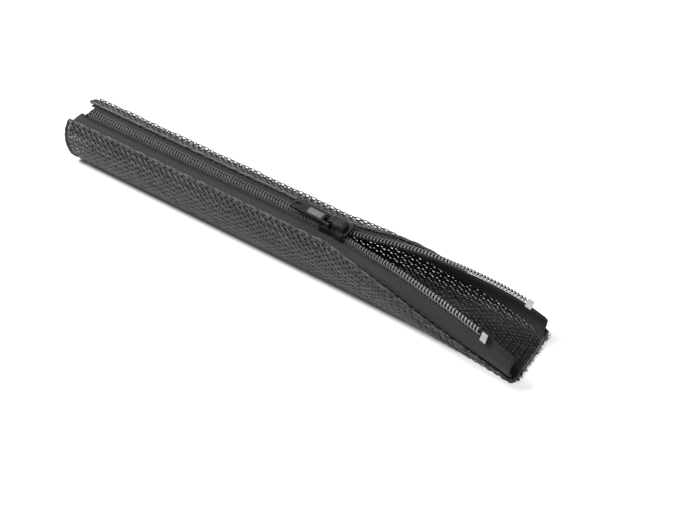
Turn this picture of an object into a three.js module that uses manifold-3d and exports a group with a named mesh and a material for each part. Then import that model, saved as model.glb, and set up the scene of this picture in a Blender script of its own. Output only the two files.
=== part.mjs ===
// Zippered cable sleeve: a braided tube with a coil zipper along its top.
// X runs along the sleeve, with the unzipped end at +X; the sleeve lies on Z = 0; sizes are in mm.
import * as THREE from 'three';
import { mergeVertices } from 'three/addons/utils/BufferGeometryUtils.js';
import Module from 'manifold-3d';

const wasm = await Module();
wasm.setup();
const { Manifold, Mesh: SolidMesh } = wasm;

// Driving dimensions
const sleeveLength = 240;
const seat = 0.3;            // gap between pieces that touch on the real object
const running = 0.35;        // clearance of the slider round what it runs on

// Section of the sleeve: the face that the braid and the zipper lie on
const zipperHeight = 24.2;   // that face at the zipper, above the floor
const flatHalfWidth = 4.5;   // half of the flat that the sleeve rests on
const closedBottomPull = 8;
const openBottomPull = 9;
const closedShoulderReach = 15.8;  // sideways reach of the curve's handle below the tape
const openShoulderReach = 18.8;
const openTapeDip = 55;      // slope of the tapes at the open end, degrees
const tapeFlat = 5.4;        // flat run of each tape beside its teeth

// Lengthwise steps of the strips that follow the fabric
const straightStep = 40;
const bendingStep = 5;

// Where the zipper is open
const partingStart = 25;     // the rows of teeth start to part here
const openingSpread = 13.2;  // sideways shift of each row at the open end
const openingShape = 1.35;
const openingRise = 2.6;
const openingRiseLength = 36;
const openingDroop = 11;
const openingBlend = 64;     // length over which the round section becomes a channel

// Braided wall
const braidThickness = 1.1;
const ridgeHeight = 0.35;
const laneCount = 8;         // rows of gaps round the wall
const pitchCount = 12;       // gaps along each lane
const gapShare = 0.44;       // gap length, as a share of half a pitch
const gapEdge = 0.28;        // gap edges, as shares of a lane
const gapSlant = 1.1;
const hemWidth = 2.4;
const hemCrestOffset = 0.9;
const hemCrestHeight = 1.9;
const hemEdgeHeight = 0.9;
const nearHemStart = 7.6;    // edges of the braid, from the middle of the closed zipper
const farHemStart = 5.6;
const openHemStart = 11.5;
const endHemWidth = 2.6;
const endHemFlat = 1.4;      // flat top of the hem round each end

// Zipper tapes
const tapeThickness = 0.6;
const tapeGap = 0.4;         // slack between the tape and the braid sewn over it
const tapeEdge = 0.45;       // inner edge, from the middle of the closed zipper
const tapeWidth = 14.5;
const tapeEndInset = 1.5;

// Coils, their cords and threads
const toothPitch = 1.5;
const toothTip = -0.3;
const toothRoot = 0.83;
const coilOuter = 2.3;
const coilThickness = 0.9;
const cordInner = 0.95;
const cordWidth = 1.05;
const cordThickness = 0.7;
const coilThreadWidth = 0.6;
const coilThreadThickness = 0.5;
const seamThreadInset = 3.1;  // seam, from the edge of the braid
const seamThreadWidth = 0.6;
const seamThreadThickness = 0.35;

// Stops
const nearStopInset = 16.5;
const farStopInset = 10.5;
const stopLength = 2.6;
const stopWall = 0.45;
const closedStopInset = 3;
const closedStopLength = 3;

// Slider
const sliderLength = 13;
const flangeThickness = 0.8;
const topPlate = 0.9;
const bottomPlate = 0.8;
const sliderNoseRound = 2.2;
const wedgeLength = 3.4;
const wedgeTip = 0.1;
const capLength = 5.6;
const capWidth = 4.6;
const capHeight = 2.5;
const capWall = 0.55;
const capNeckWidth = 3;
const capNeckLength = 3.4;
const pivotAhead = 3.9;      // pivot, from the slider's tail
const pinRadius = 0.6;
const springWidth = 1.6;
const springThickness = 0.3;
const prongLength = 1.3;
const prongThickness = 0.5;

// Pull tab
const tabLength = 19.5;
const tabWidth = 5.8;
const tabThickness = 1.1;
const tabTilt = 2.5;         // degrees above level, at rest
const tabWindowLength = 3.4;
const tabPanelLength = 7.4;
const tabPanelDepth = 0.25;
const tabHoleLength = 3.2;
const tabHoleWidth = 1.9;
const tabFrame = 1.1;
const tabKnobRadius = 0.85;
const tabKnobReach = 0.45;

// Derived places
const halfLength = sleeveLength / 2;
const openLength = halfLength - partingStart;
const ridgeTop = braidThickness + ridgeHeight;
const faceBottom = ridgeTop + ridgeHeight;
const tapeTop = -tapeGap;
const tapeBottom = tapeTop - tapeThickness;
const coilBottom = cordThickness + seat;
const coilTop = coilBottom + coilThickness;
const threadInner = cordInner + cordWidth + seat;
const threadOuter = threadInner + coilThreadWidth;
const channelHalfWidth = threadOuter + running;
const plateBottom = zipperHeight + coilTop + running;
const plateTop = plateBottom + topPlate;
const sliderNose = partingStart + sliderLength / 2;
const sliderTail = partingStart - sliderLength / 2;
const pivotX = sliderTail + pivotAhead;
const pivotZ = plateTop + seat + tabKnobRadius;
const coilStart = -halfLength + closedStopInset + closedStopLength + seat;

// Small helpers
const lerp = (a, b, t) => a + (b - a) * t;
const clamp01 = (t) => Math.min(1, Math.max(0, t));
const smooth = (t) => clamp01(t) ** 2 * (3 - 2 * clamp01(t));
const opened = (x) => clamp01((x - partingStart) / openLength);
const parting = (x) => openingSpread * (1 - (1 - opened(x)) ** openingShape);
const channelShare = (x) => smooth((x - sliderNose) / openingBlend);
const hemStart = (x, side) => lerp(side < 0 ? nearHemStart : farHemStart, openHemStart, channelShare(x));

function lift(x) {
  return openingRise * smooth((x - sliderNose) / openingRiseLength) - openingDroop * opened(x) ** 4;
}

// Half section at x, from the zipper (s = 0) round to the middle of the underside
const sectionSteps = 48;
const sections = new Map();
function sectionAt(x) {
  if (sections.has(x)) return sections.get(x);
  const share = channelShare(x);
  const dip = THREE.MathUtils.degToRad(lerp(0, openTapeDip, share));
  const bottomPull = lerp(closedBottomPull, openBottomPull, share);
  const top = new THREE.Vector2(parting(x), zipperHeight + lift(x));
  const outward = new THREE.Vector2(Math.cos(dip), -Math.sin(dip));
  const shoulder = top.clone().addScaledVector(outward, tapeFlat);
  const topPull = (lerp(closedShoulderReach, openShoulderReach, share) - shoulder.x) / outward.x;
  const side = new THREE.CubicBezierCurve(
    shoulder,
    shoulder.clone().addScaledVector(outward, topPull),
    new THREE.Vector2(flatHalfWidth + bottomPull, faceBottom),
    new THREE.Vector2(flatHalfWidth, faceBottom),
  );
  const points = [top, ...side.getPoints(sectionSteps), new THREE.Vector2(0, faceBottom)];
  const lengths = [0];
  for (let i = 1; i < points.length; i += 1) {
    lengths.push(lengths[i - 1] + points[i].distanceTo(points[i - 1]));
  }
  const section = { points, lengths, outward, total: lengths.at(-1) };
  sections.set(x, section);
  return section;
}

// Point on the fabric: s along the section from the zipper, n outward from the face; side is -1 near, 1 far
function fabricPoint(x, s, n, side) {
  const { points, lengths, outward, total } = sectionAt(x);
  let place = points[0].clone().addScaledVector(outward, s);
  let along = outward;
  if (s > 0) {
    const last = lengths.length - 1;
    const found = lengths.findIndex((length) => length >= Math.min(s, total));
    const i = Math.min(last, Math.max(1, found));
    const share = (Math.min(s, total) - lengths[i - 1]) / (lengths[i] - lengths[i - 1]);
    place = points[i - 1].clone().lerp(points[i], share);
    along = points[i].clone().sub(points[i - 1]).normalize();
  }
  return [x, side * (place.x - n * along.y), place.y + n * along.x];
}

// Turns a list of points and triangles into an outward-facing closed geometry
function closedGeometry(points, triangles) {
  const flat = new THREE.BufferGeometry();
  flat.setAttribute('position', new THREE.Float32BufferAttribute(points.flat(), 3));
  flat.setIndex(triangles.flat());
  return facingOut(mergeVertices(flat, 1e-4));
}

function facingOut(geometry) {
  const place = geometry.getAttribute('position');
  const order = geometry.getIndex().array;
  const [a, b, c] = [new THREE.Vector3(), new THREE.Vector3(), new THREE.Vector3()];
  let volume = 0;
  for (let i = 0; i < order.length; i += 3) {
    a.fromBufferAttribute(place, order[i]);
    b.fromBufferAttribute(place, order[i + 1]);
    c.fromBufferAttribute(place, order[i + 2]);
    volume += a.dot(b.cross(c));
  }
  if (volume < 0) {
    for (let i = 0; i < order.length; i += 3) [order[i + 1], order[i + 2]] = [order[i + 2], order[i + 1]];
  }
  return geometry;
}

function bareGeometry(geometry) {
  geometry.deleteAttribute('normal');
  geometry.deleteAttribute('uv');
  return mergeVertices(geometry, 1e-4);
}

// Solid modelling helpers for the rigid pieces
function solidOf(geometry) {
  const bare = bareGeometry(geometry);
  return new Manifold(new SolidMesh({
    numProp: 3,
    vertProperties: new Float32Array(bare.getAttribute('position').array),
    triVerts: new Uint32Array(bare.getIndex().array),
  }));
}

function geometryOf(solid) {
  const { vertProperties, triVerts } = solid.getMesh();
  const geometry = new THREE.BufferGeometry();
  geometry.setAttribute('position', new THREE.Float32BufferAttribute(vertProperties, 3));
  geometry.setIndex(new THREE.BufferAttribute(triVerts, 1));
  return geometry;
}

function block(x0, x1, y0, y1, z0, z1) {
  const box = new THREE.BoxGeometry(x1 - x0, y1 - y0, z1 - z0);
  return solidOf(box.translate((x0 + x1) / 2, (y0 + y1) / 2, (z0 + z1) / 2));
}

// Extrudes an outline of [x, y] points from z0 to z1
function plate(outline, z0, z1) {
  const shape = new THREE.Shape(outline.map(([x, y]) => new THREE.Vector2(x, y)));
  const geometry = new THREE.ExtrudeGeometry(shape, { depth: z1 - z0, bevelEnabled: false });
  return solidOf(geometry.translate(0, 0, z0));
}

// Extrudes a side view of [x, z] points across the width y0 to y1
function profile(outline, y0, y1) {
  const shape = new THREE.Shape(outline.map(([x, z]) => new THREE.Vector2(x, z)));
  const geometry = new THREE.ExtrudeGeometry(shape, { depth: y1 - y0, bevelEnabled: false });
  return solidOf(geometry.rotateX(Math.PI / 2).translate(0, y1, 0));
}

function crossPin(x, z, radius, y0, y1, sides = 16) {
  const pin = new THREE.CylinderGeometry(radius, radius, y1 - y0, sides);
  return solidOf(pin.translate(x, (y0 + y1) / 2, z));
}

// Outline of a strip with round ends, from x0 to x1 and half as wide as its width
function roundedOutline(x0, x1, halfWidth, radius, steps = 5) {
  const corners = [[x1 - radius, halfWidth - radius, 0], [x0 + radius, halfWidth - radius, 1],
    [x0 + radius, radius - halfWidth, 2], [x1 - radius, radius - halfWidth, 3]];
  return corners.flatMap(([x, y, quarter]) => Array.from({ length: steps + 1 }, (_, i) => {
    const angle = (quarter + i / steps) * Math.PI / 2;
    return [x + radius * Math.cos(angle), y + radius * Math.sin(angle)];
  }));
}

// Bar that follows the fabric; ringAt gives its places across it and its bottom and top
function fabricBar(stations, ringAt, side) {
  const points = [];
  const triangles = [];
  stations.forEach((x, row) => {
    const { across, bottom, top } = ringAt(x);
    across.forEach((s) => points.push(fabricPoint(x, s, top, side)));
    [...across].reverse().forEach((s) => points.push(fabricPoint(x, s, bottom, side)));
    const size = across.length * 2;
    if (row === 0) return;
    for (let k = 0; k < size; k += 1) {
      const [a, b] = [(row - 1) * size + k, (row - 1) * size + (k + 1) % size];
      const [c, d] = [a + size, b + size];
      triangles.push([a, b, d], [a, d, c]);
    }
  });
  const size = points.length / stations.length;
  for (let k = 0; k < size / 2 - 1; k += 1) {
    const cap = [k, k + 1, size - 2 - k, size - 1 - k];
    const end = cap.map((i) => i + points.length - size);
    triangles.push([cap[0], cap[2], cap[1]], [cap[0], cap[3], cap[2]]);
    triangles.push([end[0], end[1], end[2]], [end[0], end[2], end[3]]);
  }
  return closedGeometry(points, triangles);
}

function stationsBetween(x0, x1) {
  const stations = [];
  const bend = Math.min(partingStart, x1);
  const closedCount = Math.max(1, Math.round((bend - x0) / straightStep));
  for (let i = 0; i <= closedCount; i += 1) stations.push(lerp(x0, bend, i / closedCount));
  const openCount = Math.round((x1 - bend) / bendingStep);
  for (let i = 1; i <= openCount; i += 1) stations.push(lerp(bend, x1, i / openCount));
  return stations;
}

// Braided wall: ridges run along it between lanes of slanted gaps, which alternate from lane to lane
function braidedSleeve() {
  const pitch = (sleeveLength - 2 * endHemWidth) / pitchCount;
  const flatStart = halfLength - (endHemWidth - endHemFlat) / 2;
  const endRows = [halfLength, flatStart, flatStart - endHemFlat].map((x, i) => ({ x, crest: i > 0, hole: -1 }));
  const rows = endRows.map(({ x, ...row }) => ({ x: -x, ...row }));
  for (let i = 0; i < pitchCount; i += 1) {
    for (const lane of [0, 1]) {
      const start = -halfLength + endHemWidth + (i + lane / 2) * pitch + (0.5 - gapShare) * pitch / 2;
      rows.push({ x: start, crest: 0, hole: lane });
      rows.push({ x: start + gapShare * pitch, crest: 0, hole: -1 });
    }
  }
  rows.push(...endRows.reverse());

  const columns = [{ hem: 0, rise: hemEdgeHeight }, { hem: hemCrestOffset, rise: hemCrestHeight }];
  for (let lane = 0; lane < laneCount; lane += 1) {
    columns.push({ share: lane / laneCount, rise: ridgeTop, slant: 0 });
    columns.push({ share: (lane + gapEdge) / laneCount, rise: braidThickness, slant: -gapSlant, hole: lane % 2 });
    columns.push({ share: (lane + 1 - gapEdge) / laneCount, rise: braidThickness, slant: gapSlant });
  }
  columns.push({ share: 1, rise: ridgeTop, slant: 0 });
  columns.push({ hem: -hemCrestOffset, rise: hemCrestHeight }, { hem: -0, rise: hemEdgeHeight, last: true });

  const point = (row, column, inner) => {
    const isHoleRow = Math.abs(row.x) < halfLength - endHemWidth;
    const x = row.x + (isHoleRow ? column.slant ?? 0 : 0);
    const { total } = sectionAt(x);
    const nearWidth = total - hemStart(x, -1);
    const width = nearWidth + total - hemStart(x, 1);
    let across = column.hem;
    if (column.hem < 0 || column.last) across = width + column.hem;
    if (column.share !== undefined) across = lerp(hemWidth, width - hemWidth, column.share);
    const side = across < nearWidth ? -1 : 1;
    const rise = row.crest ? Math.max(column.rise, ridgeTop + ridgeHeight) : column.rise;
    return fabricPoint(x, total - Math.abs(across - nearWidth), inner ? 0 : rise, side);
  };

  const points = [];
  for (const inner of [false, true]) {
    for (const row of rows) {
      for (const column of columns) points.push(point(row, column, inner));
    }
  }
  const [rowCount, columnCount] = [rows.length, columns.length];
  const at = (i, j, inner) => (inner ? rowCount * columnCount : 0) + i * columnCount + j;
  const isHole = (i, j) => i >= 0 && j >= 0 && rows[i].hole >= 0 && columns[j].hole === rows[i].hole;
  const isWall = (i, j) => i >= 0 && j >= 0 && i < rowCount - 1 && j < columnCount - 1 && !isHole(i, j);
  const triangles = [];
  const quad = (a, b, c, d) => triangles.push([a, b, c], [a, c, d]);
  for (let i = 0; i < rowCount - 1; i += 1) {
    for (let j = 0; j < columnCount - 1; j += 1) {
      if (!isWall(i, j)) continue;
      quad(at(i, j), at(i, j + 1), at(i + 1, j + 1), at(i + 1, j));
      quad(at(i, j, true), at(i + 1, j, true), at(i + 1, j + 1, true), at(i, j + 1, true));
      if (!isWall(i - 1, j)) quad(at(i, j), at(i, j, true), at(i, j + 1, true), at(i, j + 1));
      if (!isWall(i + 1, j)) quad(at(i + 1, j), at(i + 1, j + 1), at(i + 1, j + 1, true), at(i + 1, j, true));
      if (!isWall(i, j - 1)) quad(at(i, j), at(i + 1, j), at(i + 1, j, true), at(i, j, true));
      if (!isWall(i, j + 1)) quad(at(i, j + 1), at(i, j + 1, true), at(i + 1, j + 1, true), at(i + 1, j + 1));
    }
  }
  return closedGeometry(points, triangles);
}

function zipperTape(side) {
  const stations = stationsBetween(-halfLength + tapeEndInset, halfLength - tapeEndInset);
  const middle = [3, 6, 9, 12].map((s) => s * tapeWidth / 15);
  const ring = { across: [tapeEdge, ...middle, tapeWidth], bottom: tapeBottom, top: tapeTop };
  return fabricBar(stations, () => ring, side);
}

// Row of teeth: a toothed strip laid along the fabric, with one root and one tip to each pitch
function zipperCoil(side, end) {
  const first = coilStart + (side < 0 ? 0 : toothPitch / 2);
  const count = Math.floor((end - first) / toothPitch);
  const points = [];
  const triangles = [];
  const corner = (x, s) => points.push(
    fabricPoint(x, s, coilTop, side),
    fabricPoint(x, s, coilBottom, side),
  );
  for (let i = 0; i <= count; i += 1) {
    const x = first + i * toothPitch;
    corner(x, coilOuter);
    corner(x, toothRoot);
    if (i < count) corner(x + toothPitch / 2, toothTip);
  }
  const quad = (a, b, c, d) => triangles.push([a, b, c], [a, c, d]);
  const perTooth = 6;
  for (let i = 0; i < count; i += 1) {
    const [outer, root, tip] = [0, 2, 4].map((k) => i * perTooth + k);
    const [nextOuter, nextRoot] = [outer + perTooth, root + perTooth];
    for (const [a, b, c] of [[outer, root, tip], [outer, tip, nextOuter], [tip, nextRoot, nextOuter]]) {
      triangles.push([a, b, c], [a + 1, c + 1, b + 1]);
    }
    quad(outer, nextOuter, nextOuter + 1, outer + 1);
    quad(root, root + 1, tip + 1, tip);
    quad(tip, tip + 1, nextRoot + 1, nextRoot);
  }
  const last = count * perTooth;
  quad(0, 1, 3, 2);
  quad(last, last + 2, last + 3, last + 1);
  return closedGeometry(points, triangles);
}

function coreCord(side, end) {
  const ring = { across: [cordInner, cordInner + cordWidth], bottom: 0, top: cordThickness };
  return fabricBar(stationsBetween(coilStart, end), () => ring, side);
}

function coilThread(side, end) {
  const ring = { across: [threadInner, threadOuter], bottom: 0, top: coilThreadThickness };
  return fabricBar(stationsBetween(coilStart, end), () => ring, side);
}

// Seam along the foot of the hem, on top of the braid
function seamThread(side) {
  const bottom = ridgeTop + seat;
  const ringAt = (x) => {
    const start = hemStart(x, side) + seamThreadInset;
    return { across: [start, start + seamThreadWidth], bottom, top: bottom + seamThreadThickness };
  };
  return fabricBar(stationsBetween(-halfLength + endHemWidth, halfLength - endHemWidth), ringAt, side);
}

// Bright stop folded over the end of a row of teeth and the edge of its tape
function endStop(side, start) {
  const reach = threadOuter + stopWall;
  const stations = [start, start + stopLength / 2, start + stopLength];
  const ring = [[reach, 0], [reach, coilTop], [toothTip, coilTop], [tapeEdge - seat - stopWall, tapeTop],
    [tapeEdge - seat - stopWall, tapeBottom - seat - stopWall], [reach, tapeBottom - seat - stopWall],
    [reach, tapeBottom - seat], [tapeEdge - seat, tapeBottom - seat], [tapeEdge - seat, 0]];
  const points = stations.flatMap((x) => ring.map(([s, n]) => fabricPoint(x, s, n, side)));
  const size = ring.length;
  const triangles = [];
  for (let row = 1; row < stations.length; row += 1) {
    for (let k = 0; k < size; k += 1) {
      const [a, b] = [(row - 1) * size + k, (row - 1) * size + (k + 1) % size];
      triangles.push([a, b, b + size], [a, b + size, a + size]);
    }
  }
  const caps = THREE.ShapeUtils.triangulateShape(ring.map(([s, n]) => new THREE.Vector2(s, n)), []);
  const far = points.length - size;
  caps.forEach(([a, b, c]) => triangles.push([a, c, b], [a + far, b + far, c + far]));
  return closedGeometry(points, triangles);
}

// Retainer round both tapes at the closed end
function closedEndStop() {
  const [x0, x1] = [-halfLength + closedStopInset, -halfLength + closedStopInset + closedStopLength];
  const outerTop = zipperHeight + coilTop;
  const underTape = zipperHeight + tapeBottom - seat;
  const cap = block(x0, x1, -threadOuter, threadOuter, zipperHeight + tapeTop + seat, outerTop);
  const foot = block(x0, x1, -threadOuter, threadOuter, underTape - stopWall, underTape);
  const web = block(x0, x1, seat - tapeEdge, tapeEdge - seat, underTape - stopWall, outerTop);
  return geometryOf(cap.add(foot).add(web));
}

// Outline of the slider, which widens as the rows of teeth part
function sliderOutline(halfWidthAt, x0, x1, noseRound = 0) {
  const steps = 10;
  const edge = [];
  for (let i = 0; i <= steps; i += 1) {
    const x = lerp(x0, x1, i / steps);
    const corner = Math.max(0, x - (x1 - noseRound));
    edge.push([x, halfWidthAt(x) - (noseRound - Math.sqrt(Math.max(0, noseRound ** 2 - corner ** 2)))]);
  }
  return [...edge.map(([x, y]) => [x, -y]), ...edge.reverse()];
}

function sliderBody() {
  const bodyHalf = (x) => channelHalfWidth + flangeThickness + parting(x);
  const channelHalf = (x) => channelHalfWidth + parting(x);
  const tapeClear = zipperHeight + tapeTop + running;
  const lowerTop = zipperHeight + tapeBottom - running;
  const outer = plate(sliderOutline(bodyHalf, sliderTail, sliderNose, sliderNoseRound), tapeClear, plateTop);
  const overlap = 1;
  const channel = plate(sliderOutline(channelHalf, sliderTail - overlap, sliderNose + overlap),
    tapeClear - overlap, plateBottom);
  const lower = plate(sliderOutline(bodyHalf, sliderTail, sliderNose, sliderNoseRound),
    lowerTop - bottomPlate, lowerTop);
  const wedgeEnd = sliderNose - sliderNoseRound / 4;
  const wedgeStart = sliderNose - wedgeLength;
  const wedgeSlope = (parting(wedgeEnd) + toothTip - wedgeTip) / (wedgeEnd - wedgeStart);
  const wedgeHalf = (x) => wedgeTip + wedgeSlope * (x - wedgeStart);
  const postHalf = (x) => Math.min(wedgeHalf(x), tapeEdge - seat);
  const wedge = plate(sliderOutline(wedgeHalf, wedgeStart, wedgeEnd), tapeClear, plateTop - topPlate / 2);
  const post = plate(sliderOutline(postHalf, wedgeStart, wedgeEnd), lowerTop - bottomPlate / 2, tapeClear + overlap);
  const prongHole = block(pivotX + springWidth, pivotX + springWidth + prongThickness + 2 * running,
    -springWidth / 2 - running, springWidth / 2 + running, plateBottom - overlap, plateTop + overlap);
  return geometryOf(outer.subtract(channel).add(lower).add(wedge).add(post).subtract(prongHole));
}

// Crown: a hollow box over the spring, with a narrower neck that holds the pin down
function sliderCap() {
  const base = plateTop + seat;
  const top = base + capHeight;
  const neckStart = pivotX - capNeckLength / 2;
  const bodyStart = pivotX + capNeckLength / 2;
  const bodyEnd = bodyStart + capLength;
  const slope = 0.9;
  const body = profile([[bodyStart, base], [bodyEnd, base], [bodyEnd, top - slope],
    [bodyEnd - slope, top], [bodyStart + slope / 2, top], [bodyStart, top - slope / 2]],
  -capWidth / 2, capWidth / 2);
  const neckTop = pivotZ + pinRadius + running + capWall;
  const neck = profile([[neckStart, base], [bodyStart + capWall, base], [bodyStart + capWall, neckTop],
    [neckStart + slope, neckTop], [neckStart, neckTop - slope]], -capNeckWidth / 2, capNeckWidth / 2);
  const room = block(bodyStart + capWall, bodyEnd - capWall, capWall - capWidth / 2, capWidth / 2 - capWall,
    base - slope, top - capWall);
  const neckRoom = block(neckStart + capWall, bodyStart + 2 * capWall, capWall - capNeckWidth / 2,
    capNeckWidth / 2 - capWall, base - slope, neckTop - capWall);
  const clearRadius = pinRadius + 0.1;
  const slot = block(pivotX - clearRadius, pivotX + clearRadius, -capNeckWidth, capNeckWidth, base - slope, pivotZ);
  const bore = crossPin(pivotX, pivotZ, clearRadius, -capNeckWidth, capNeckWidth);
  return geometryOf(body.add(neck).subtract(room).subtract(neckRoom).subtract(slot).subtract(bore));
}

// Leaf spring inside the crown, with a prong that reaches through the top plate to the teeth
function lockSpring() {
  const prongStart = pivotX + springWidth + running;
  const leafEnd = pivotX + capNeckLength / 2 + capLength - capWall - seat;
  const leafBottom = plateTop + seat;
  const crest = plateTop + seat + capHeight - capWall - seat;
  const middle = (prongStart + leafEnd) / 2;
  const leaf = [[prongStart, leafBottom], [prongStart + prongThickness, leafBottom],
    [middle, crest - springThickness], [leafEnd, leafBottom], [leafEnd, leafBottom + springThickness],
    [middle, crest], [prongStart, leafBottom + springThickness + prongThickness]];
  const strip = profile(leaf, -springWidth / 2, springWidth / 2);
  const prong = block(prongStart, prongStart + prongThickness, -springWidth / 2, springWidth / 2,
    leafBottom - prongLength, leafBottom + springThickness);
  return geometryOf(strip.add(prong));
}

// Pull tab, drawn level with its pin at the origin and its free end at -X
function pullTab() {
  const half = tabWidth / 2;
  const eye = tabKnobRadius;
  const body = plate(roundedOutline(-tabLength, eye, half, eye), -tabThickness / 2, tabThickness / 2);
  const armInner = capNeckWidth / 2 + running;
  const window = block(-tabWindowLength, eye + 1, -armInner, armInner, -tabThickness, tabThickness);
  const panelEnd = -tabWindowLength - tabFrame;
  const panel = block(panelEnd - tabPanelLength, panelEnd, tabFrame - half, half - tabFrame,
    tabThickness / 2 - tabPanelDepth, tabThickness);
  const holeEnd = tabFrame - tabLength;
  const hole = plate(roundedOutline(holeEnd, holeEnd + tabHoleLength, tabHoleWidth / 2, tabHoleWidth / 2 - 0.01),
    -tabThickness, tabThickness);
  const pin = crossPin(0, 0, pinRadius, -half - tabKnobReach, half + tabKnobReach);
  const knobs = [-1, 1].map((side) => {
    const [inner, outer] = [side * (half - tabFrame / 2), side * (half + tabKnobReach)];
    return crossPin(0, 0, tabKnobRadius, Math.min(inner, outer), Math.max(inner, outer), 20);
  });
  return geometryOf(body.subtract(window).subtract(panel).subtract(hole).add(pin).add(knobs[0]).add(knobs[1]));
}

// Materials
const finish = (color, roughness, metalness = 0) => new THREE.MeshStandardMaterial({ color, roughness, metalness });
const braidFinish = finish(0x26272a, 0.55);
const tapeFinish = finish(0x1c1d20, 0.8);
const coilFinish = finish(0x3c3d40, 0.35);
const cordFinish = finish(0x202124, 0.85);
const threadFinish = finish(0x2c2d30, 0.7);
const stopFinish = finish(0xd8d9dc, 0.25, 1);
const paintFinish = finish(0x141517, 0.3, 0.2);
const springFinish = finish(0x9a9ca0, 0.35, 1);

const sleeve = new THREE.Group();
function add(name, geometry, material) {
  const mesh = new THREE.Mesh(geometry, material);
  mesh.name = name;
  sleeve.add(mesh);
  return mesh;
}

add('braided_sleeve', braidedSleeve(), braidFinish);
for (const [name, side, stopInset] of [['near', -1, nearStopInset], ['far', 1, farStopInset]]) {
  const rowEnd = halfLength - stopInset;
  add(`${name}_tape`, zipperTape(side), tapeFinish);
  add(`${name}_coil`, zipperCoil(side, rowEnd), coilFinish);
  add(`${name}_core_cord`, coreCord(side, rowEnd - seat), cordFinish);
  add(`${name}_coil_thread`, coilThread(side, rowEnd - seat), threadFinish);
  add(`${name}_seam_thread`, seamThread(side), threadFinish);
  add(`${name}_end_stop`, endStop(side, rowEnd), stopFinish);
}
add('closed_end_stop', closedEndStop(), stopFinish);
add('slider_body', sliderBody(), paintFinish);
add('slider_cap', sliderCap(), paintFinish);
add('lock_spring', lockSpring(), springFinish);
const tab = add('pull_tab', pullTab(), paintFinish);
tab.position.set(pivotX, 0, pivotZ);
tab.rotation.y = THREE.MathUtils.degToRad(tabTilt);

export default sleeve;
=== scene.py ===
"""Zippered cable sleeve: a braided tube with a coil zipper, unzipped at the +X end.

Shapes are worked out in millimetres, in the frame's axes, and handed to Blender in metres.
"""
import math

import bpy
import numpy as np
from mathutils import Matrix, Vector


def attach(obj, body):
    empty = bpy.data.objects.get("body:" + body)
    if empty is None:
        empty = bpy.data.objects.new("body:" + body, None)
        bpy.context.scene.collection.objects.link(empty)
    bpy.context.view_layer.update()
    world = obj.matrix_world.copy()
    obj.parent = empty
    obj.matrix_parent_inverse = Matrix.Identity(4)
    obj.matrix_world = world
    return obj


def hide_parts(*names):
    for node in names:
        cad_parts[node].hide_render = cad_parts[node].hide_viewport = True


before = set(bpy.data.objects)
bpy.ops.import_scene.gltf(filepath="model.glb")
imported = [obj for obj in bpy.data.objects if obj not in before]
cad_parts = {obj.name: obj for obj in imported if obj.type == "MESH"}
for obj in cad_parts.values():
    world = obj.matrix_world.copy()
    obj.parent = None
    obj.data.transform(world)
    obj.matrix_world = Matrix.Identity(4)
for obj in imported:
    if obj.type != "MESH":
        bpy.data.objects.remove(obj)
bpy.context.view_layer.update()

MM = 0.001
chance = np.random.default_rng(7)

# The sleeve's form, as in the part
HALF_LENGTH = 120
ZIPPER_HEIGHT = 24.2
FLAT_HALF_WIDTH = 4.5
CLOSED_BOTTOM_PULL = 8
OPEN_BOTTOM_PULL = 9
CLOSED_SHOULDER_REACH = 15.8
OPEN_SHOULDER_REACH = 18.8
OPEN_TAPE_DIP = 55
TAPE_FLAT = 5.4
PARTING_START = 25
SLIDER_NOSE = 31.5
OPENING_SPREAD = 13.2
OPENING_SHAPE = 1.35
OPENING_RISE = 2.6
OPENING_RISE_LENGTH = 36
OPENING_DROOP = 11
OPENING_BLEND = 64
FACE_BOTTOM = 1.8
NEAR_HEM_START = 7.6
FAR_HEM_START = 5.6
OPEN_HEM_START = 11.5
TAPE_EDGE = 0.45
TAPE_WIDTH = 14.5
TAPE_TOP = -0.4
TAPE_BOTTOM = -1.0
TAPE_HALF_LENGTH = 118.5
TOOTH_PITCH = 1.5
COIL_START = -113.7
NEAR_ROW_END = 103.5
FAR_ROW_END = 109.5

# The two sides of the zipper, with their signs in y
SIDES = ((-1, "near"), (1, "far"))

# Directions on the fabric: along the sleeve, across the cloth and off its face
LENGTHWISE = (1, 0, 0)
CROSSWISE = (0, 1, 0)
OUTWARD = (0, 0, 1)


def opened(x):
    """Share of the way from where the tapes part to the open end."""
    return np.clip((x - PARTING_START) / (HALF_LENGTH - PARTING_START), 0, 1)


def smooth(t):
    t = np.clip(t, 0, 1)
    return t * t * (3 - 2 * t)


def channel_share(x):
    """How far the section at x has changed from the closed form, 0, to the open one, 1."""
    return smooth((x - SLIDER_NOSE) / OPENING_BLEND)


def between(low, high, share):
    return low + (high - low) * share


def hem_start(x, side):
    """Distance from the zipper at which the braid starts on one side."""
    closed = np.where(np.asarray(side) < 0, NEAR_HEM_START, FAR_HEM_START)
    return between(closed, OPEN_HEM_START, channel_share(x))


SECTION_STEPS = 48


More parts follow.
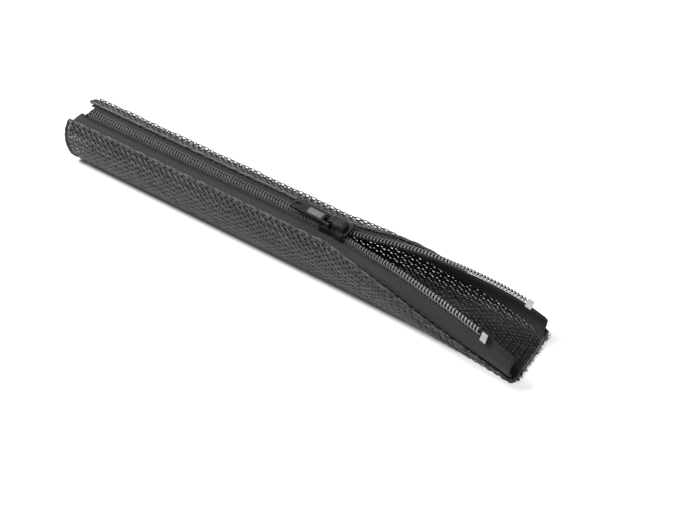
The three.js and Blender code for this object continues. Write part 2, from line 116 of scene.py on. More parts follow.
def section(x):
    """Half section at x as points (y, z), from the zipper round to the middle of the underside."""
    share = channel_share(x)
    dip = math.radians(OPEN_TAPE_DIP * share)
    bottom_pull = between(CLOSED_BOTTOM_PULL, OPEN_BOTTOM_PULL, share)
    reach = between(CLOSED_SHOULDER_REACH, OPEN_SHOULDER_REACH, share)
    lift = OPENING_RISE * smooth((x - SLIDER_NOSE) / OPENING_RISE_LENGTH) - OPENING_DROOP * opened(x) ** 4
    top = np.array([OPENING_SPREAD * (1 - (1 - opened(x)) ** OPENING_SHAPE), ZIPPER_HEIGHT + lift])
    outward = np.array([math.cos(dip), -math.sin(dip)])
    shoulder = top + outward * TAPE_FLAT
    handle = shoulder + outward * (reach - shoulder[0]) / outward[0]
    low_handle = np.array([FLAT_HALF_WIDTH + bottom_pull, FACE_BOTTOM])
    low = np.array([FLAT_HALF_WIDTH, FACE_BOTTOM])
    t = np.linspace(0, 1, SECTION_STEPS + 1)[:, None]
    side = ((1 - t) ** 3 * shoulder + 3 * (1 - t) ** 2 * t * handle
            + 3 * (1 - t) * t * t * low_handle + t ** 3 * low)
    return np.vstack([top, side, [0, FACE_BOTTOM]])


STATION_STEP = 0.5
SHARE_COUNT = 240
stations = np.arange(-HALF_LENGTH, HALF_LENGTH + STATION_STEP / 2, STATION_STEP)
places = np.zeros((len(stations), SHARE_COUNT + 1, 2))
alongs = np.zeros_like(places)
totals = np.zeros(len(stations))
for row, station in enumerate(stations):
    points = section(station)
    lengths = np.concatenate([[0], np.cumsum(np.linalg.norm(np.diff(points, axis=0), axis=1))])
    totals[row] = lengths[-1]
    even = np.linspace(0, lengths[-1], SHARE_COUNT + 1)
    places[row] = np.stack([np.interp(even, lengths, points[:, k]) for k in (0, 1)], axis=1)
    slope = np.gradient(places[row], axis=0)
    alongs[row] = slope / np.linalg.norm(slope, axis=1, keepdims=True)


def total_at(x):
    """Arc length of the half section at x."""
    return np.interp(x, stations, totals)


def on_fabric(x, s, n, side):
    """Points at s along the section from the zipper and n outward from the fabric's face, in mm."""
    x, s, n, side = np.broadcast_arrays(x, s, n, side)
    # Just short of the last station, so that the next one always exists
    column = np.clip((x + HALF_LENGTH) / STATION_STEP, 0, len(stations) - 1.001)
    i = column.astype(int)
    fx = (column - i)[..., None]
    share = np.clip(s / total_at(x), 0, 1) * SHARE_COUNT
    j = np.minimum(share.astype(int), SHARE_COUNT - 1)
    fs = (share - j)[..., None]

    def mixed(table):
        low = table[i, j] * (1 - fs) + table[i, j + 1] * fs
        high = table[i + 1, j] * (1 - fs) + table[i + 1, j + 1] * fs
        return low * (1 - fx) + high * fx

    place, along = mixed(places), mixed(alongs)
    # The table starts at s = 0, and points before it lie on a straight line
    place = place + along * np.minimum(s, 0)[..., None]
    y = side * (place[..., 0] - n * along[..., 1])
    z = place[..., 1] + n * along[..., 0]
    return np.stack([x, y, z], axis=-1)


def beside_zipper(side):
    """A function that puts (x, s, n) points on one side's fabric."""
    return lambda points: on_fabric(points[..., 0], points[..., 1], points[..., 2], side)


# Wall coordinates: w runs round the braid from the near edge to the far edge, in mm, with 0 underneath
WALL_WIDTH = 2 * float(total_at(-HALF_LENGTH)) - NEAR_HEM_START - FAR_HEM_START


def on_wall(points):
    """Puts (x, w, n) points on the braid, which spreads to fill the section between its edges."""
    x, w, n = np.moveaxis(points, -1, 0)
    share = np.clip(2 * w / WALL_WIDTH, -1, 1)
    total = total_at(x)
    side = np.where(w < 0, -1.0, 1.0)
    return on_fabric(x, total - np.abs(share) * (total - hem_start(x, side)), n, side)


def normalised(v):
    return v / np.maximum(np.linalg.norm(v, axis=-1, keepdims=True), 1e-9)


def across_path(path, reference):
    """Two unit directions across a path at each point, the first leaning to the reference."""
    tangent = normalised(np.gradient(path, axis=0))
    reference = np.asarray(reference, float)
    first = normalised(reference - (tangent @ reference)[:, None] * tangent)
    return first, np.cross(tangent, first)


def sweep(path, radius, sides, reference, wide=1.0):
    """Rings round a path; wide stretches each ring across the path, along the reference."""
    path = np.asarray(path, float)
    first, second = across_path(path, reference)
    angle = (np.arange(sides) + 0.5) * 2 * np.pi / sides
    wide = np.broadcast_to(wide, len(path))[:, None, None]
    ring = (first[:, None] * np.cos(angle)[None, :, None] * wide
            + second[:, None] * np.sin(angle)[None, :, None])
    return path[:, None] + ring * radius


class Shape:
    """Gathers closed tubes and slabs into one mesh, each with a tone from 0 to 1, which holds random tone
    and painted light and shade.
    """

    def __init__(self):
        self.points = []
        self.faces = []
        self.tones_and_shade = []
        self.cloth = []
        self.count = 0

    def add(self, rings, tone, cloth=None):
        """Adds one tube or slab, skinned from ring to ring and capped at both ends."""
        rows, sides = rings.shape[:2]
        spread = rings[0] - rings[0].mean(axis=0)
        outward = np.cross(rings[1, 0] - rings[0, 0], rings[0, 1] - rings[0, 0]) @ (spread[0] + spread[1])
        here = np.arange(rows - 1)[:, None] * sides
        after = here + sides
        k = np.arange(sides)[None]
        quads = np.stack([here + k, here + (k + 1) % sides, after + (k + 1) % sides, after + k], axis=-1)
        quads = quads.reshape(-1, 4)
        ring = np.arange(sides)
        caps = [ring[::-1], ring + (rows - 1) * sides]
        if outward > 0:
            quads = quads[:, ::-1]
            caps = [cap[::-1] for cap in caps]
        self.faces += (quads + self.count).tolist()
        self.faces += [(cap + self.count).tolist() for cap in caps]
        self.points.append(rings.reshape(-1, 3))
        self.tones_and_shade.append(np.broadcast_to(tone, rows * sides))
        self.cloth.append(np.zeros((rows * sides, 3)) if cloth is None else cloth.reshape(-1, 3))
        self.count += rows * sides

    def piece(self, name, body, slot, material, replaced):
        """Makes the object, which rides on a body and stands in for the replaced nodes."""
        mesh = bpy.data.meshes.new(name)
        mesh.from_pydata((np.vstack(self.points) * MM).tolist(), [], self.faces)
        tone = mesh.attributes.new("tone", "FLOAT", "POINT")
        tone.data.foreach_set("value", np.concatenate(self.tones_and_shade))
        cloth = mesh.attributes.new("cloth", "FLOAT_VECTOR", "POINT")
        cloth.data.foreach_set("vector", np.vstack(self.cloth).ravel())
        mesh.shade_smooth()
        mesh.materials.append(material)
        made = bpy.data.objects.new(name, mesh)
        bpy.context.scene.collection.objects.link(made)
        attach(made, body)
        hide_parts(*replaced)
        return made


# Materials
class Nodes:
    """A material's node tree, with a short way to add and link nodes."""

    def __init__(self, name):
        self.material = bpy.data.materials.new(name)
        self.material.use_nodes = True
        self.tree = self.material.node_tree
        self.shader = self.tree.nodes["Principled BSDF"]

    def add(self, kind, inputs=(), **settings):
        node = self.tree.nodes.new("ShaderNode" + kind)
        for key, value in settings.items():
            setattr(node, key, value)
        for key, value in dict(inputs).items():
            self.put(node, key, value)
        return node

    def put(self, node, key, value):
        """Links a socket, or sets a plain value."""
        if isinstance(value, bpy.types.NodeSocket):
            self.tree.links.new(value, node.inputs[key])
        else:
            node.inputs[key].default_value = value

    def shade(self, **inputs):
        """Sets inputs of the main shader, with underscores for the spaces in their names."""
        for key, value in inputs.items():
            self.put(self.shader, key.replace("_", " "), value)

    def math(self, operation, a, b=0.0):
        return self.add("Math", {0: a, 1: b}, operation=operation).outputs[0]

    def weighted(self, first, first_weight, second, second_weight):
        """Weighted sum of two values."""
        return self.math("ADD", self.math("MULTIPLY", first, first_weight),
                         self.math("MULTIPLY", second, second_weight))

    def mapped(self, value, source, target=(0, 1)):
        """A value moved from the source range to the target range, and kept inside it."""
        return self.add("MapRange", {"Value": value, "From Min": source[0], "From Max": source[1],
                                     "To Min": target[0], "To Max": target[1]}).outputs[0]

    def place(self):
        """Position in the object's own axes, in metres."""
        return self.add("TexCoord").outputs["Object"]

    def tone(self):
        """The tone that Shape stores, with its painted light and shade."""
        return self.add("Attribute", attribute_name="tone").outputs["Fac"]

    def noise(self, scale, detail, stretch=(1, 1, 1)):
        moved = self.add("Mapping", {"Vector": self.place(), "Scale": stretch}).outputs[0]
        return self.add("TexNoise", {"Vector": moved, "Scale": scale, "Detail": detail}).outputs[0]

    def ramp(self, value, *stops):
        """Colour between two stops, each a position and a colour."""
        node = self.add("ValToRGB", {"Fac": value})
        for element, (position, colour) in zip(node.color_ramp.elements, stops):
            element.position = position
            element.color = (*colour, 1)
        return node.outputs[0]

    def bump(self, height, distance):
        made = self.add("Bump", {"Height": height, "Distance": distance, "Strength": 1.0})
        self.put(self.shader, "Normal", made.outputs[0])


def grey(level):
    """A grey with a faint blue cast."""
    return (level, level, level * 1.03)


def strand_material(name, dark, light, roughness, sheen=0.0):
    """Polyester strands: each has its own tone, which carries painted light and shade from some shapes,
    with faint streaks along the sleeve.
    """
    nodes = Nodes(name)
    tone = nodes.tone()
    streak = nodes.noise(scale=900, detail=2, stretch=(0.25, 1, 1))
    mixed = nodes.weighted(streak, 0.3, tone, 0.7)
    colour = nodes.ramp(mixed, (0.2, grey(dark)), (0.85, grey(light)))
    # Covered strands are dull, and strands on top shine
    rough = nodes.mapped(tone, source=(0, 0.5), target=(0.95, roughness))
    nodes.shade(Base_Color=colour, Roughness=rough, Specular_IOR_Level=0.3,
                Sheen_Weight=sheen, Sheen_Roughness=0.4)
    nodes.bump(nodes.noise(scale=4000, detail=2, stretch=(0.2, 1, 1)), distance=0.00004)
    return nodes.material


# Slant and pitch of the tape's ribs
RIB_LEAN = 1.6
RIB_PITCH = 1.4


def tape_material():
    """Woven tape: fine slanted ribs from the cloth attribute, over a fuzzy charcoal, with painted shade
    from the tone under the coil and in the wrinkles.
    """
    nodes = Nodes("tape")
    cloth = nodes.add("Attribute", attribute_name="cloth").outputs["Vector"]
    split = nodes.add("SeparateXYZ", {0: cloth})
    across = nodes.math("MULTIPLY", split.outputs[1], RIB_LEAN)
    slanted = nodes.math("SUBTRACT", split.outputs[0], across)
    rib = nodes.math("SINE", nodes.math("MULTIPLY", slanted, 2 * math.pi / RIB_PITCH))
    fuzz = nodes.noise(scale=1800, detail=4)
    height = nodes.weighted(rib, 0.35, fuzz, 0.8)
    mixed = nodes.weighted(height, 0.5, nodes.tone(), 0.5)
    colour = nodes.ramp(mixed, (0.25, grey(0.005)), (0.85, grey(0.034)))
    nodes.shade(Base_Color=colour, Roughness=0.85, Sheen_Weight=0.1, Sheen_Roughness=0.5)
    nodes.bump(height, distance=0.00008)
    return nodes.material


def metal_material(name, colour, roughness, scratch):
    """Bare metal with fine marks along its length; scratch is how much rougher they get."""
    nodes = Nodes(name)
    wear = nodes.noise(scale=700, detail=4, stretch=(0.3, 1, 1))
    rough = nodes.mapped(wear, source=(0.3, 0.7), target=(roughness, roughness + scratch))
    tint = nodes.ramp(wear, (0.3, tuple(0.85 * c for c in colour)), (0.7, colour))
    nodes.shade(Base_Color=tint, Roughness=rough, Metallic=1.0)
    nodes.bump(wear, distance=0.00003)
    return nodes.material


def paint_material(name, panel=None):
    """Black lacquer on a zinc casting: faint orange peel, duller where hands rub it.

    A panel, as (lowest x, highest x, half width) in metres, gets a pale painted reflection.
    """
    nodes = Nodes(name)
    rub = nodes.noise(scale=260, detail=3)
    peel = nodes.noise(scale=2600, detail=2)
    rough = nodes.mapped(rub, source=(0.35, 0.65), target=(0.14, 0.3))
    colour = nodes.ramp(rub, (0.35, grey(0.006)), (0.7, grey(0.014)))
    if panel:
        lowest, highest, half_width = panel
        place = nodes.add("SeparateXYZ", {0: nodes.place()})
        lengthwise = nodes.math("MULTIPLY", nodes.math("GREATER_THAN", place.outputs[0], lowest),
                                nodes.math("LESS_THAN", place.outputs[0], highest))
        crosswise = nodes.math("LESS_THAN", nodes.math("ABSOLUTE", place.outputs[1]), half_width)
        inside = nodes.math("MULTIPLY", lengthwise, crosswise)
        # The panel's pale grey is a painted reflection
        painted_reflection = nodes.ramp(rub, (0.3, grey(0.13)), (0.7, grey(0.2)))
        blend = nodes.add("Mix", {"Factor": inside, "A": colour, "B": painted_reflection}, data_type="RGBA")
        colour = blend.outputs["Result"]
    nodes.shade(Base_Color=colour, Roughness=rough, Specular_IOR_Level=0.4,
                Coat_Weight=0.2, Coat_Roughness=0.15)
    nodes.bump(peel, distance=0.00002)
    return nodes.material


braid_look = strand_material("braid", dark=0.0015, light=0.2, roughness=0.3)
hem_look = strand_material("hem", dark=0.004, light=0.12, roughness=0.4)
coil_look = strand_material("coil", dark=0.02, light=0.4, roughness=0.26)
cord_look = strand_material("cord", dark=0.003, light=0.012, roughness=0.8)
thread_look = strand_material("thread", dark=0.02, light=0.06, roughness=0.6, sheen=0.1)
tape_look = tape_material()
stop_look = metal_material("bright_metal", (0.92, 0.92, 0.94), roughness=0.12, scratch=0.14)
spring_look = metal_material("spring_steel", (0.5, 0.5, 0.52), roughness=0.25, scratch=0.15)
paint_look = paint_material("black_paint")
# The tab's panel lies between its end hole and its window, and is painted pale as a reflection
tab_look = paint_material("tab_paint_and_reflection", panel=(0.0105, 0.0179, 0.0018))

# Braided wall: two lays of bundles cross at a low angle, each over two and under two
BUNDLE_COUNT = 52
REPEAT_LENGTH = 3.44
FILAMENT_RADIUS = 0.15
FILAMENT_SIDES = 4
FILAMENT_SPACING = 0.3
# How far a filament strays, along w and outward
FILAMENT_DRIFT = 0.03
FILAMENT_STRAY = 0.02
# Each lay's name, direction, filaments to a bundle and brightest tone; the broad lay's lower brightest tone
# is painted shade, as the light catches the slim lay more
LAYS = (("slim", 1, 2, 1.0), ("broad", -1, 4, 0.6))
# Tone of the dullest filament, as a share of its lay's brightest
DULLEST_SHARE = 0.5
WALL_MIDDLE = 0.85
SLIM_LAY_LIFT = 0.06
WAVE_HEIGHT = 0.34
WAVE_SHARPNESS = 2.2
WALL_END = 1.2
SAMPLES_PER_WAVE = 6
# Ridge of the near hem, and the dip in which both edges end
RIDGE_HEIGHT = 0.75
RIDGE_INSET = 1.2
RIDGE_WIDTH = 0.75
DIP_DEPTH = 0.8
DIP_WIDTH = 0.4

bundle_spacing = WALL_WIDTH / BUNDLE_COUNT
lay_slope = bundle_spacing / REPEAT_LENGTH
sample_step = 2 * REPEAT_LENGTH / SAMPLES_PER_WAVE
shortest_run = 3 * sample_step


def hem_rise(w):
    """Height that the turned edges add at w: a ridge on the near side, and a dip at each edge."""
    inward = WALL_WIDTH / 2 - np.abs(w)
    ridge = np.exp(-((inward - RIDGE_INSET) / RIDGE_WIDTH) ** 2) * np.where(w < 0, RIDGE_HEIGHT, 0)
    return ridge - DIP_DEPTH * np.exp(-(inward / DIP_WIDTH) ** 2)


def braid_lay(direction, filaments):
    """Bundle number, path in wall coordinates and share on top, for each filament of one lay."""
    end = HALF_LENGTH - WALL_END
    reach = int(end / REPEAT_LENGTH) + 2
    for bundle in range(-reach, BUNDLE_COUNT + reach + 1):
        # The bundle crosses w from edge to edge; the other lay's number at x gives the over and under
        start = -WALL_WIDTH / 2 + bundle * bundle_spacing
        edges = sorted(direction * (edge - start) / lay_slope for edge in (-WALL_WIDTH / 2, WALL_WIDTH / 2))
        low, high = max(-end, edges[0]), min(end, edges[1])
        if high - low < shortest_run:
            continue
        x = np.linspace(low, high, int((high - low) / sample_step) + 2)
        w = start + direction * lay_slope * x
        crossing = bundle + (w + WALL_WIDTH / 2) / bundle_spacing + direction * x / REPEAT_LENGTH
        wave = np.tanh(WAVE_SHARPNESS * np.cos(np.pi * (crossing - 0.5) / 2))
        for filament in range(filaments):
            offset = (filament - (filaments - 1) / 2) * FILAMENT_SPACING
            drift = chance.normal(0, FILAMENT_DRIFT)
            lane = np.clip(w + (offset + drift) * math.hypot(1, lay_slope), -WALL_WIDTH / 2, WALL_WIDTH / 2)
            n = WALL_MIDDLE + direction * (SLIM_LAY_LIFT + WAVE_HEIGHT * wave) + hem_rise(lane)
            n = n + chance.normal(0, FILAMENT_STRAY)
            yield bundle, np.stack([x, lane, n], axis=1), 0.5 + 0.5 * direction * wave


for lay, direction, filaments, painted_lay_brightness in LAYS:
    halves = [Shape(), Shape()]
    for bundle, path, painted_light in braid_lay(direction, filaments):
        # A strand is painted brightest where it floats on top, as light, and painted dark where the other
        # lay covers it, as shade
        tone = chance.uniform(DULLEST_SHARE, 1) * painted_lay_brightness * painted_light
        rings = sweep(path, FILAMENT_RADIUS, FILAMENT_SIDES, OUTWARD)
        halves[bundle % 2].add(on_wall(rings), np.repeat(tone, FILAMENT_SIDES))
    for number, half in enumerate(halves):
        half.piece(f"braid_{lay}_lay_{number + 1}", "sleeve", "braid", braid_look, ["braided_sleeve"])


STRAND_SIDES = 5
STRAND_TONES = (0.2, 1)


def rope(shape, centre, twist, radius, strands, turn, place):
    """Strands twisted round a centre line, at the distance twist, once in each length of turn.

    The place function puts ring points into space.
    """
    gone = np.concatenate([[0], np.cumsum(np.linalg.norm(np.diff(centre, axis=0), axis=1))])
    first, second = across_path(centre, OUTWARD)
    for strand in range(strands):
        angle = 2 * np.pi * (gone / turn + strand / strands)
        path = centre + twist * (first * np.cos(angle)[:, None] + second * np.sin(angle)[:, None])
        shape.add(place(sweep(path, radius, STRAND_SIDES, OUTWARD)), float(chance.uniform(*STRAND_TONES)))


# Turned edges: a twisted edge cord along each hem
HEM_CORD_STEP = 0.8
HEM_CORD_END = 0.9
HEM_CORD_INSET = 0.55
HEM_CORD_MIDDLE = 0.95
HEM_CORD_WAVE = 0.12
along = np.arange(-HALF_LENGTH + HEM_CORD_END, HALF_LENGTH - HEM_CORD_END, HEM_CORD_STEP)
for side, side_name in SIDES:
    hem = Shape()
    w = side * (WALL_WIDTH / 2 - HEM_CORD_INSET) + 0 * along
    n = HEM_CORD_MIDDLE + HEM_CORD_WAVE * np.sin(along * 2 * np.pi / (2 * REPEAT_LENGTH))
    rope(hem, np.stack([along, w, n], axis=1), twist=0.3, radius=0.27, strands=4, turn=9, place=on_wall)
    hem.piece(f"{side_name}_hem_cord", "sleeve", "braid", hem_look, ["braided_sleeve"])

# Far edge: the braid's last strands stand up as an open net with a scalloped edge
NET_PERIOD = 9.9
NET_STRANDS = 3
NET_FOOT = 0.9
NET_HEIGHT = 1.9
NET_RADIUS = 0.19
NET_INSET = 4.6
NET_SWAY = 0.25
NET_END = 1.5
NET_STEP = 0.5
# Each strand is a pair of filaments, shifted along the net's wave by an angle
NET_PAIR = (-0.15, 0.15)
# A slow wave makes the net's height uneven
NET_UNEVENNESS = 0.1
NET_SLOW_LENGTH = 5.3
# Painted shade at the net's foot, and how much lighter its top is painted, as light
NET_FOOT_SHADE = 0.05
NET_TOP_LIGHT = 0.3
net = Shape()
net_x = np.arange(-HALF_LENGTH + NET_END, HALF_LENGTH - NET_END, NET_STEP)
for strand in range(NET_STRANDS):
    evenness = 1 - NET_UNEVENNESS + NET_UNEVENNESS * np.sin(net_x / NET_SLOW_LENGTH + strand)
    for shift in NET_PAIR:
        phase = 2 * np.pi * (net_x / NET_PERIOD + strand / NET_STRANDS) + shift
        rise = NET_HEIGHT * (0.5 - 0.5 * np.cos(phase)) * evenness
        w = WALL_WIDTH / 2 - NET_INSET + NET_SWAY * np.sin(phase)
        path = np.stack([net_x, w, NET_FOOT + rise], axis=1)
        tone = NET_FOOT_SHADE + NET_TOP_LIGHT * rise.repeat(STRAND_SIDES) / NET_HEIGHT
        net.add(on_wall(sweep(path, NET_RADIUS, STRAND_SIDES, CROSSWISE)), tone)
net.piece("far_edge_net", "sleeve", "braid", hem_look, ["braided_sleeve"])

# Turned ends: a thicker cord round each end, wandering a little
END_CORD_INSET = 0.3
END_CORD_SETBACK = 0.95
END_CORD_MIDDLE = 0.95
END_CORD_WANDER = 0.15
END_CORD_WANDER_RATE = 2.1
END_CORD_SAMPLES = 110
for end, end_name in ((-1, "closed"), (1, "open")):
    hem = Shape()
    w = np.linspace(-WALL_WIDTH / 2 + END_CORD_INSET, WALL_WIDTH / 2 - END_CORD_INSET, END_CORD_SAMPLES)
    x = end * (HALF_LENGTH - END_CORD_SETBACK) + END_CORD_WANDER * np.sin(w * END_CORD_WANDER_RATE)
    path = np.stack([x, w, END_CORD_MIDDLE + 0 * w], axis=1)
    rope(hem, path, twist=0.4, radius=0.36, strands=4, turn=8, place=on_wall)
    hem.piece(f"{end_name}_end_hem", "sleeve", "braid", hem_look, ["braided_sleeve"])

# Frayed loops at the open end
FRAY_COUNT = 56
FRAY_LENGTH = 2.4
SHORTEST_FRAY_SHARE = 0.3
FRAY_WIDTHS = (2, 5)
FRAY_LEAN = 1.2
FRAY_LIFT = 0.4
FRAY_ROOT = 1.5
FRAY_MIDDLE = 0.9
FRAY_INSET = 0.4
FRAY_SAMPLES = 13
FRAY_TONES = (0.1, 0.5)
fray_reach = WALL_WIDTH / 2 - FRAY_INSET
fray_share = np.linspace(0, 1, FRAY_SAMPLES)
fray_arch = np.sin(np.pi * fray_share)
fray = Shape()
for start in chance.uniform(-fray_reach, fray_reach, FRAY_COUNT):
    reach = FRAY_LENGTH * chance.uniform(SHORTEST_FRAY_SHARE, 1)
    lean = chance.normal(0, FRAY_LEAN)
    across = chance.uniform(*FRAY_WIDTHS)
    path = np.stack([HALF_LENGTH - FRAY_ROOT + reach * fray_arch,
                     start + across * (fray_share - 0.5) + lean * fray_arch ** 2,
                     FRAY_MIDDLE + chance.normal(0, FRAY_LIFT) * fray_arch], axis=1)
    rings = sweep(path, FILAMENT_RADIUS, FILAMENT_SIDES, OUTWARD)
    fray.add(on_wall(rings), float(chance.uniform(*FRAY_TONES)))
fray.piece("open_end_fray", "sleeve", "braid", hem_look, ["braided_sleeve"])

# Tapes, with soft wrinkles along the ribs of their weave, painted lighter on their crests and darker in
# their troughs
TAPE_STEP = 0.45
TAPE_SAMPLES = 34
WRINKLE_PITCH = 2.8
WRINKLE_HEIGHT = 0.05
# How much the wrinkles are painted light on their crests and shade in their troughs
WRINKLE_SHADE = 0.4
# The wrinkles sway along the tape, by an angle over a length
WRINKLE_SWAY = 2.5
WRINKLE_SWAY_LENGTH = 11
# The wrinkles start at this distance from the zipper and reach their height over the same length
WRINKLE_START = 3
# The tape has painted shade under the coil and its stitches, which pales over a short way
COIL_SHADE_WIDTH = 1.5
COIL_SHADE_BLEND = 2.5
tape_x = np.arange(-TAPE_HALF_LENGTH, TAPE_HALF_LENGTH, TAPE_STEP)
tape_s = np.linspace(TAPE_EDGE, TAPE_WIDTH, TAPE_SAMPLES)
for side, side_name in SIDES:
    x, s = np.meshgrid(tape_x, np.concatenate([tape_s, tape_s[::-1]]), indexing="ij")
    upper = np.arange(x.shape[1])[None] < len(tape_s)
    sway = WRINKLE_SWAY * np.sin(x / WRINKLE_SWAY_LENGTH)
    wrinkle = np.sin((x - RIB_LEAN * s) * 2 * np.pi / WRINKLE_PITCH + sway) * WRINKLE_HEIGHT
    wrinkle = wrinkle * smooth((s - WRINKLE_START) / WRINKLE_START)
    n = np.where(upper, TAPE_TOP, TAPE_BOTTOM) + wrinkle
    wrinkle_light_and_shade = 1 - WRINKLE_SHADE + WRINKLE_SHADE * wrinkle / WRINKLE_HEIGHT
    # Tone: painted shade under the coil, times the wrinkles' painted light and shade
    tone = (smooth((s - COIL_SHADE_WIDTH) / COIL_SHADE_BLEND) * wrinkle_light_and_shade).ravel()
    tape = Shape()
    tape.add(on_fabric(x, s, n, side), tone, np.stack([x, s, 0 * x + side], axis=-1))
    made = tape.piece(f"{side_name}_tape_cloth", "sleeve", "tape", tape_look, [f"{side_name}_tape"])

# Coils: one flattened filament winds round each core cord, with a wide head at each tooth's tip
COIL_RADIUS = 0.27
COIL_SIDES = 6
LOWER_LEG = 0.0
UPPER_LEG = 1.5
TOOTH_TIP = -0.05
REAR = 2.0
# One turn, as (share of the pitch, s, n)
turn_path = np.array([
    (0.0, 1.5, LOWER_LEG), (0.0, 0.9, LOWER_LEG), (0.0, 0.35, 0.05), (0.0, 0.05, 0.3),
    (0.0, TOOTH_TIP, 0.75), (0.0, 0.05, 1.2), (0.0, 0.35, 1.45), (0.0, 0.9, UPPER_LEG),
    (0.03, 1.5, UPPER_LEG), (0.12, 1.85, 1.36), (0.3, REAR, 1.05), (0.5, REAR + 0.04, 0.75),
    (0.7, REAR, 0.42), (0.88, 1.85, 0.12),
])
head_width = np.array([1, 1, 1.1, 1.35, 1.5, 1.35, 1.1, 1, 1, 1, 1, 1, 1, 1])
# Tone of the meshed chain, darker as painted shade; the parted hooks are painted lighter, as the light they
# catch
MESHED_SHADE = 0.4

# Core cords, inside the coils
CORE_S = 1.1
CORE_N = 0.75
CORE_STEP = 1.5
CORE_END = 0.3

# Chains of stitches that hold each coil to its tape
CHAIN_LANES = (2.45, 2.8)
CHAIN_RADIUS = 0.16
CHAIN_SINK = 0.05
CHAIN_WANDER = 0.06
CHAIN_WANDER_RATE = 4
CHAIN_TONES = (0.3, 1)
chain_x = np.linspace(0.08, 0.92, 7) * TOOTH_PITCH
chain_arch = np.array([0.0, 0.16, 0.24, 0.26, 0.24, 0.16, 0.0])

# Seams that hold each hem to its tape, over the braid
SEAM_HALF_LENGTH = 117.4
SEAM_INSET = 3.4
SEAM_LOW = 1.25
SEAM_ARCH = 0.5
SEAM_RADIUS = 0.2
SEAM_SIDES = 6
SEAM_TONES = (0.3, 0.9)
STITCH_LENGTH = 3.0
stitch_share = np.linspace(0.02, 0.96, 9)

for (side, side_name), row_end in zip(SIDES, (NEAR_ROW_END, FAR_ROW_END)):
    place = beside_zipper(side)
    first = COIL_START + COIL_RADIUS + (0 if side < 0 else TOOTH_PITCH / 2)
    count = int((row_end - first) / TOOTH_PITCH)
    turns = np.arange(count)[:, None]
    x = first + (turns + turn_path[None, :, 0]) * TOOTH_PITCH
    s, n = (0 * x + turn_path[None, :, k] for k in (1, 2))
    path = np.stack([x, s, n], axis=-1).reshape(-1, 3)
    # The meshed chain gets painted shade and the parted hooks a painted highlight
    tones_and_shade = between(MESHED_SHADE, 1, channel_share(path[:, 0]))
    rings = sweep(path, COIL_RADIUS, COIL_SIDES, LENGTHWISE, np.tile(head_width, count))
    coil = Shape()
    coil.add(place(rings), np.repeat(tones_and_shade, COIL_SIDES))
    coil.piece(f"{side_name}_coil_winding", "sleeve", "coil", coil_look, [f"{side_name}_coil"])

    x = np.arange(COIL_START, row_end - CORE_END, CORE_STEP)
    path = np.stack([x, CORE_S + 0 * x, CORE_N + 0 * x], axis=1)
    core = Shape()
    rope(core, path, twist=0.16, radius=0.24, strands=3, turn=4, place=place)
    core.piece(f"{side_name}_cord_twist", "sleeve", "tape", cord_look, [f"{side_name}_core_cord"])

    chain = Shape()
    for start in np.arange(COIL_START, row_end - TOOTH_PITCH, TOOTH_PITCH):
        for lane in CHAIN_LANES:
            s = lane + CHAIN_WANDER * np.sin(chain_x * CHAIN_WANDER_RATE)
            path = np.stack([start + chain_x, s, chain_arch - CHAIN_SINK], axis=1)
            rings = sweep(path, CHAIN_RADIUS, STRAND_SIDES, OUTWARD)
            chain.add(place(rings), float(chance.uniform(*CHAIN_TONES)))
    chain.piece(f"{side_name}_coil_stitches", "sleeve", "thread", thread_look,
                [f"{side_name}_coil_thread"])

    seam = Shape()
    for start in np.arange(-SEAM_HALF_LENGTH, SEAM_HALF_LENGTH - STITCH_LENGTH, STITCH_LENGTH):
        x = start + stitch_share * STITCH_LENGTH
        s = hem_start(x, side) + SEAM_INSET
        n = SEAM_LOW + SEAM_ARCH * np.sin(np.pi * stitch_share) ** 0.5
        rings = sweep(np.stack([x, s, n], axis=1), SEAM_RADIUS, SEAM_SIDES, OUTWARD)
        seam.add(place(rings), float(chance.uniform(*SEAM_TONES)))
    seam.piece(f"{side_name}_seam_stitches", "sleeve", "thread", thread_look,
               [f"{side_name}_seam_thread"])

# Rigid pieces keep their own solids, with rounded edges of a width in mm
BEVEL_SEGMENTS = 3
BEVEL_ANGLE = 32
for node, look, width in (("near_end_stop", stop_look, 0.45), ("far_end_stop", stop_look, 0.45),
                          ("closed_end_stop", stop_look, 0.35), ("slider_body", paint_look, 0.28),
                          ("slider_cap", paint_look, 0.3), ("lock_spring", spring_look, 0.06),
                          ("pull_tab", tab_look, 0.22)):
    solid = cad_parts[node]
    solid.data.materials.clear()
    solid.data.materials.append(look)
    bevel = solid.modifiers.new("edges", "BEVEL")
    bevel.width = width * MM
    bevel.segments = BEVEL_SEGMENTS
    bevel.limit_method = "ANGLE"
    bevel.angle_limit = math.radians(BEVEL_ANGLE)
    bevel.harden_normals = False
    smoothing = solid.modifiers.new("normals", "WEIGHTED_NORMAL")
    smoothing.keep_sharp = False
    for face in solid.data.polygons:
        face.use_smooth = True

# Floor: white to the camera and to reflections, with the object's own shadow on it and a painted shadow
# under the sleeve
FLOOR_REACH = 4
FLOOR_GLOW = 0.72
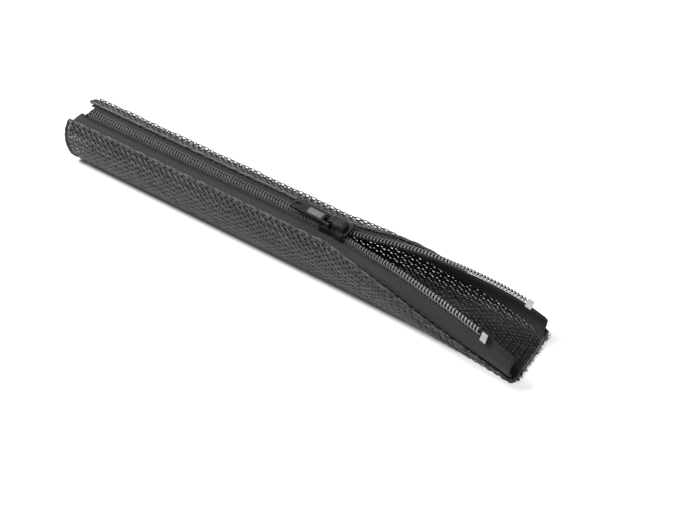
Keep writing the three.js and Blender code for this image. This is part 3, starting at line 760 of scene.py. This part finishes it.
# Under the sleeve it doesn't glow, which paints a shadow there: each pair is where the glow starts and
# where it is full, in metres
UNLIT_HALF_WIDTH = (0.0125, 0.0155)
UNLIT_HALF_LENGTH = (0.117, 0.121)
UNLIT_MIDDLE_Y = 0.004
corners = [(x * FLOOR_REACH, y * FLOOR_REACH, 0) for x, y in ((-1, -1), (1, -1), (1, 1), (-1, 1))]
floor_mesh = bpy.data.meshes.new("floor")
floor_mesh.from_pydata(corners, [], [(0, 1, 2, 3)])
floor = bpy.data.objects.new("floor", floor_mesh)
bpy.context.scene.collection.objects.link(floor)
ground = Nodes("floor")
path_kind = ground.add("LightPath")
bounced = ground.math("MAXIMUM", path_kind.outputs["Is Glossy Ray"],
                      path_kind.outputs["Is Transmission Ray"])
seen = ground.math("MAXIMUM", path_kind.outputs["Is Camera Ray"], bounced)
ground_place = ground.add("SeparateXYZ", {0: ground.place()})
from_middle = ground.math("ABSOLUTE", ground.math("SUBTRACT", ground_place.outputs[1], UNLIT_MIDDLE_Y))
beside = ground.mapped(from_middle, source=UNLIT_HALF_WIDTH)
beyond = ground.mapped(ground.math("ABSOLUTE", ground_place.outputs[0]), source=UNLIT_HALF_LENGTH)
clear = ground.math("MAXIMUM", beside, beyond)
glow = ground.math("MULTIPLY", ground.math("MULTIPLY", seen, clear), FLOOR_GLOW)
ground.shade(Base_Color=(0.5, 0.5, 0.5, 1), Roughness=0.9, Specular_IOR_Level=0.0,
             Emission_Color=(1, 1, 1, 1), Emission_Strength=glow)
floor_mesh.materials.append(ground.material)

# World: white to the camera, about half as bright in reflections and dim as a light
WORLD_LIGHT = 0.15
REFLECTED_SHARE = 0.5
world = bpy.data.worlds.new("studio")
bpy.context.scene.world = world
world.use_nodes = True
sky = world.node_tree
background = sky.nodes["Background"]
background.inputs["Color"].default_value = (1, 1, 1, 1)
rays = sky.nodes.new("ShaderNodeLightPath")
shown = sky.nodes.new("ShaderNodeMath")
shown.operation = "MULTIPLY_ADD"
shown.use_clamp = True
sky.links.new(rays.outputs["Is Glossy Ray"], shown.inputs[0])
shown.inputs[1].default_value = REFLECTED_SHARE
sky.links.new(rays.outputs["Is Camera Ray"], shown.inputs[2])
strength = sky.nodes.new("ShaderNodeMapRange")
sky.links.new(shown.outputs[0], strength.inputs["Value"])
strength.inputs["To Min"].default_value = WORLD_LIGHT
strength.inputs["To Max"].default_value = 1.0
sky.links.new(strength.outputs[0], background.inputs["Strength"])


def turned_to(thing, aim):
    """Points a lamp's or camera's -Z axis at the aim."""
    thing.rotation_euler = (Vector(aim) - Vector(thing.location)).to_track_quat("-Z", "Y").to_euler()


def softbox(name, place, aim, size, power):
    """A rectangular lamp, with its place, aim and size in metres and its power in watts."""
    light = bpy.data.lights.new(name, "AREA")
    light.shape = "RECTANGLE"
    light.size, light.size_y = size
    light.energy = power
    lamp = bpy.data.objects.new(name, light)
    bpy.context.scene.collection.objects.link(lamp)
    lamp.location = place
    turned_to(lamp, aim)


softbox("key", place=(-0.45, -0.25, 0.8), aim=(0.02, 0, 0), size=(0.3, 0.3), power=11)
softbox("rim", place=(-0.5, 0.55, 0.45), aim=(0, 0, 0.01), size=(0.5, 0.2), power=1.5)
softbox("fill", place=(0.6, -0.8, 0.5), aim=(0, 0, 0.01), size=(0.6, 0.6), power=2)

# Camera, fitted to the photograph's view
AZIMUTH = math.radians(34.0)
ELEVATION = math.radians(46)
DISTANCE = 0.52
AIM = np.array([0.0353, -0.0052, 0.014])
view = bpy.data.cameras.new("camera")
view.lens = 63.3
view.sensor_width = 36
camera = bpy.data.objects.new("camera", view)
bpy.context.scene.collection.objects.link(camera)
back = np.array([math.sin(AZIMUTH) * math.cos(ELEVATION), -math.cos(AZIMUTH) * math.cos(ELEVATION),
                 math.sin(ELEVATION)])
camera.location = tuple(AIM + back * DISTANCE)
turned_to(camera, tuple(AIM))
bpy.context.scene.camera = camera
bpy.context.scene.view_settings.view_transform = "Standard"
